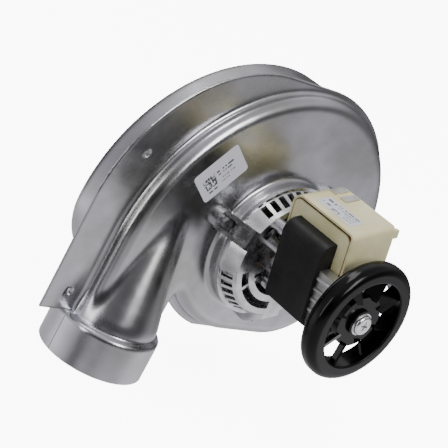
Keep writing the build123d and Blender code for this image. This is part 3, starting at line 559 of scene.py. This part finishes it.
def speckle(item, u, v, size_u, size_v, share):
    """Random filled cells: 1 in about that share of them."""
    nodes, links = item.node_tree.nodes, item.node_tree.links
    cell = nodes.new("ShaderNodeCombineXYZ")
    links.new(arithmetic(item, "FLOOR", arithmetic(item, "DIVIDE", u, size_u)), cell.inputs[0])
    links.new(arithmetic(item, "FLOOR", arithmetic(item, "DIVIDE", v, size_v)), cell.inputs[1])
    random = nodes.new("ShaderNodeTexWhiteNoise")
    random.noise_dimensions = "2D"
    links.new(cell.outputs[0], random.inputs["Vector"])
    return arithmetic(item, "LESS_THAN", random.outputs["Value"], share)


def label_material(name, paper, ink, centre, u_axis, v_axis, block, rows):
    """A printed label: one block of random cells, and rows of plain dashes that say nothing.

    The block is its four limits and the size of a cell, and each row is its two ends, middle and height.
    """
    item = new_material(name, paper, 0.38)
    u, v = along(item, centre, u_axis), along(item, centre, v_axis)
    u_low, u_high, v_low, v_high, cell = block
    square = arithmetic(item, "MULTIPLY", within(item, u, u_low, u_high), within(item, v, v_low, v_high))
    mask = arithmetic(item, "MULTIPLY", square, speckle(item, u, v, cell, cell, CELLS_FILLED))
    for u_from, u_to, v_mid, height in rows:
        in_height = within(item, v, v_mid - height / 2, v_mid + height / 2)
        row = arithmetic(item, "MULTIPLY", within(item, u, u_from, u_to), in_height)
        dashes = speckle(item, u, v, height * DASH_SHAPE, ROW_PITCH, DASHES_FILLED)
        mask = arithmetic(item, "MAXIMUM", mask, arithmetic(item, "MULTIPLY", row, dashes))
    into(item, ramp(item, mask, [(0.0, paper), (1.0, ink)]), "Base Color")
    return item


def paint(node, item):
    """Gives a CAD node or a piece one material."""
    target = NODES[node] if isinstance(node, str) else node
    target.data.materials.clear()
    target.data.materials.append(item)


# ---------------------------------------------------------------- lights, floor and camera
# Brightness of the sky by height, from straight below to straight above.
SKY_BANDS = [
    (0.0, grey(0.9)), (0.335, grey(0.92)), (0.42, grey(0.14)), (0.56, grey(0.08)),
    (0.70, grey(0.24)), (0.84, grey(0.85)), (1.0, grey(0.7))]
# Patches of light and shade: direction, tightness, amount.
SKY_LOBES = [
    ((0.0, -0.88, 0.49), 60.0, 2.6), ((-0.93, -0.27, -0.26), 30.0, -1.0), ((0.9, -0.38, -0.24), 12.0, 0.45),
    ((0.70, -0.60, -0.44), 30.0, 0.35), ((0.14, 0.62, 0.77), 10.0, 0.6), ((-0.66, 0.62, 0.36), 12.0, 0.25),
    ((-0.74, 0.60, -0.25), 20.0, 0.9), ((-0.55, -0.80, -0.22), 30.0, -0.5), ((-0.99, 0.16, 0.10), 16.0, 0.9)]
SKY_DARKEST = 0.03
SKY_TINT = (0.97, 0.96, 1.0)
FLOOR_REACH = 30.0                      # metres
FLOOR_GLOW = 9.0


def lobe(item, direction, tight, amount):
    """A soft round patch of light or shade in one direction of the sky."""
    nodes, links = item.node_tree.nodes, item.node_tree.links
    where = nodes.new("ShaderNodeTexCoord")
    dot = nodes.new("ShaderNodeVectorMath")
    dot.operation = "DOT_PRODUCT"
    dot.inputs[1].default_value = Vector(direction).normalized()
    links.new(where.outputs["Generated"], dot.inputs[0])
    facing = arithmetic(item, "MAXIMUM", dot.outputs["Value"], 0.0)
    return arithmetic(item, "MULTIPLY", arithmetic(item, "POWER", facing, tight), amount)


def make_world():
    """A studio: bright low walls and a softbox overhead, with darker sides that shade the metal."""
    world = bpy.data.worlds.new("studio")
    bpy.context.scene.world = world
    world.use_nodes = True
    nodes, links = world.node_tree.nodes, world.node_tree.links
    where = nodes.new("ShaderNodeTexCoord")
    split = nodes.new("ShaderNodeSeparateXYZ")
    links.new(where.outputs["Generated"], split.inputs[0])
    height = arithmetic(world, "MULTIPLY_ADD", split.outputs["Z"], 0.5)
    height.node.inputs[2].default_value = 0.5
    level = ramp(world, height, SKY_BANDS)
    for direction, tight, amount in SKY_LOBES:
        level = arithmetic(world, "ADD", level, lobe(world, direction, tight, amount))
    level = arithmetic(world, "MAXIMUM", level, SKY_DARKEST)
    tint = nodes.new("ShaderNodeVectorMath")
    tint.operation = "SCALE"
    tint.inputs[0].default_value = SKY_TINT
    links.new(level, tint.inputs["Scale"])
    backdrop = nodes["Background"]
    links.new(tint.outputs["Vector"], backdrop.inputs["Color"])
    backdrop.inputs["Strength"].default_value = 1.0


def make_floor():
    """A white floor that glows for the camera only, so that the metal doesn't mirror it."""
    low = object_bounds()[0]
    corners = ((-1, -1), (1, -1), (1, 1), (-1, 1))
    points = [(x * FLOOR_REACH, y * FLOOR_REACH, low.z) for x, y in corners]
    floor = mesh_object("floor", np.array(points) / MM, [(0, 1, 2, 3)], smooth=False)
    item = new_material("floor_white", (0.9, 0.9, 0.9), 0.7)
    set_constant(item, "Emission Color", (1.0, 1.0, 1.0, 1.0))
    set_constant(item, "Emission Strength", FLOOR_GLOW)
    paint(floor, item)
    floor.visible_glossy = False
    floor.visible_diffuse = False
    floor.visible_transmission = False


def area_light(name, place, target, size, power):
    """A rectangular lamp that faces a target."""
    lamp = bpy.data.lights.new(name, "AREA")
    lamp.shape = "RECTANGLE"
    lamp.size, lamp.size_y = size
    lamp.energy = power
    holder = bpy.data.objects.new(name, lamp)
    holder.location = place
    holder.rotation_euler = (Vector(target) - Vector(place)).to_track_quat("-Z", "Y").to_euler()
    bpy.context.scene.collection.objects.link(holder)


def make_camera():
    """A long lens, above and to the left of the motor, rolled so that the spigot points down to the left."""
    right = Vector((0.6595, -0.5935, 0.4614))
    up = Vector((-0.1282, 0.5160, 0.8470))
    back = Vector((-0.7407, -0.6177, 0.2641))
    place = Vector((-0.7644, SEAM_Y * MM - 0.6077, 0.2626))
    lens = bpy.data.cameras.new("camera")
    lens.sensor_width = 36.0
    lens.lens = 115.13
    lens.clip_end = 100.0
    camera = bpy.data.objects.new("camera", lens)
    turn = Matrix((right, up, back)).transposed()
    camera.matrix_world = Matrix.Translation(place) @ turn.to_4x4()
    bpy.context.scene.collection.objects.link(camera)
    bpy.context.scene.camera = camera


# ---------------------------------------------------------------- making it all
CAST = metal("cast_aluminium", (0.50, 0.50, 0.50), (0.74, 0.74, 0.76), (0.20, 0.34), 70.0, 700.0, 0.00008)
SCREW = metal("screw_steel", grey(0.16), grey(0.32), (0.25, 0.4), 150.0, 900.0, 0.00005)
SHEET_METAL = metal("impeller_steel", grey(0.5), grey(0.66), (0.28, 0.42), 40.0, 700.0, 0.00005)
BRONZE = metal("bronze", (0.40, 0.26, 0.12), (0.62, 0.45, 0.25), (0.35, 0.5), 120.0, 900.0, 0.00005)
NYLON = moulding("nylon_natural", (0.62, 0.57, 0.31), (0.74, 0.69, 0.43), (0.30, 0.40), 45.0, 300.0, 0.00006)
set_constant(NYLON, "Subsurface Weight", 0.2)
set_constant(NYLON, "Subsurface Scale", 0.003)
BLACK = moulding("black_plastic", grey(0.001), grey(0.003), (0.10, 0.17), 60.0, 350.0, 0.00003)
set_constant(BLACK, "Specular IOR Level", 0.18)
STACK = laminations()
set_constant(STACK, "Specular IOR Level", 0.25)
MATERIALS = {
    "inlet_ring": SHEET_METAL, "impeller_backplate": SHEET_METAL, "impeller_blades": SHEET_METAL,
    "impeller_shroud": SHEET_METAL, "motor_adapter": CAST, "adapter_screws": SCREW, "motor_bolts": SCREW,
    "impeller_set_screw": SCREW, "rear_bearing": BRONZE, "front_bearing": BRONZE, "stator_core": STACK,
    "coil_leg": STACK, "coil_bobbin": NYLON, "coil_cover": NYLON, "cooling_fan": BLACK,
    "impeller_hub": metal("hub_steel", grey(0.42), grey(0.52), (0.3, 0.4), 60.0, 800.0, 0.00004),
    "shaft_seal": moulding(
        "seal_fibre", (0.24, 0.22, 0.19), (0.38, 0.35, 0.30), (0.8, 0.9), 200.0, 500.0, 0.0003),
    "motor_shaft": metal(
        "shaft_steel", grey(0.62), grey(0.76), (0.12, 0.2), 90.0, 900.0, 0.00002, (1, 30, 1)),
    "heat_slinger": metal("slinger_aluminium", grey(0.7), grey(0.8), (0.22, 0.32), 60.0, 700.0, 0.00004),
    "rotor_end_rings": metal("end_ring_cast", grey(0.55), grey(0.7), (0.3, 0.42), 80.0, 600.0, 0.0001),
    "rotor_core": metal("rotor_steel", grey(0.22), grey(0.36), (0.38, 0.5), 80.0, 500.0, 0.0001),
    "thrust_washers": moulding("washer_film", grey(0.7), grey(0.82), (0.5, 0.6), 150.0, 500.0, 0.00005),
    "shading_loops": metal(
        "copper", (0.55, 0.25, 0.12), (0.74, 0.40, 0.22), (0.2, 0.34), 120.0, 700.0, 0.00004),
    "coil_winding": metal(
        "winding_copper", (0.30, 0.10, 0.04), (0.52, 0.20, 0.09), (0.25, 0.4), 90.0, 600.0, 0.0001),
    "terminal_blades": metal(
        "tin_plate", (0.50, 0.50, 0.44), (0.66, 0.66, 0.60), (0.25, 0.36), 120.0, 800.0, 0.00003),
    "front_bracket": metal(
        "bracket_zinc", (0.36, 0.36, 0.35), (0.52, 0.52, 0.51), (0.38, 0.5), 80.0, 420.0, 0.00016),
    "fan_washer": metal("bright_washer", grey(0.6), grey(0.78), (0.2, 0.3), 150.0, 900.0, 0.00003),
    "fan_screw": metal("bright_screw", grey(0.64), grey(0.84), (0.16, 0.26), 150.0, 900.0, 0.00004),
    "housing_label": label_material(
        "label_film", (0.62, 0.62, 0.68), (0.05, 0.05, 0.06), LABEL_CENTRE,
        (cos(LABEL_TILT), 0.0, sin(LABEL_TILT)), (-sin(LABEL_TILT), 0.0, cos(LABEL_TILT)),
        (-14.5, -4.5, -5.0, 5.0, 1.0),
        [
            (-2.5, 14.0, 3.6, 1.5), (-2.5, 12.0, 0.8, 1.2), (0.0, 11.0, -3.2, 0.9), (-2.5, 6.0, -6.2, 0.8),
            (-13.5, -6.0, -7.6, 1.4)]),
    "cover_label": label_material(
        "label_silver", (0.58, 0.59, 0.63), (0.10, 0.10, 0.11), COVER_LABEL_CENTRE,
        (0.0, 1.0, 0.0), (cos(MOTOR_TILT), 0.0, sin(MOTOR_TILT)),
        (-3.0, 5.0, -5.5, -2.0, 0.8),
        [
            (-15.0, 6.0, 4.2, 1.4), (-15.0, 4.0, 1.6, 0.9), (-15.0, -5.0, -0.8, 0.9),
            (-15.0, -6.0, -3.6, 0.9), (7.0, 15.0, 3.0, 2.2), (8.0, 15.0, -2.0, 1.8)]),
}
# Width in millimetres of the rounded edges that the CAD pieces get.
EDGES = {
    "coil_cover": 0.7, "motor_adapter": 0.35, "front_bracket": 0.5, "stator_core": 0.4, "coil_leg": 0.3,
    "cooling_fan": 0.3, "adapter_screws": 0.25, "motor_bolts": 0.4, "fan_washer": 0.15, "fan_screw": 0.2,
    "terminal_blades": 0.1}

make_camera()
make_world()
make_floor()
STEEL = housing_steel()
paint(make_front_shell(), STEEL)
paint(make_back_shell(), STEEL)
for name in NODES:
    paint(name, MATERIALS.get(name, STEEL))
for name, width in EDGES.items():
    modifier(
        NODES[name], "BEVEL", width=width * MM, segments=3, limit_method="ANGLE", angle_limit=SHARP,
        harden_normals=True)

area_light("key", (-0.1, -1.5, 0.85), (0, 0, 0), (0.5, 0.9), 14.0)
area_light("top", (-0.6, 0.4, 1.6), (0, 0, 0), (1.2, 0.6), 16.0)
area_light("low_left", (-1.6, -0.3, 0.1), (-0.05, -0.08, 0), (0.25, 1.0), 5.0)
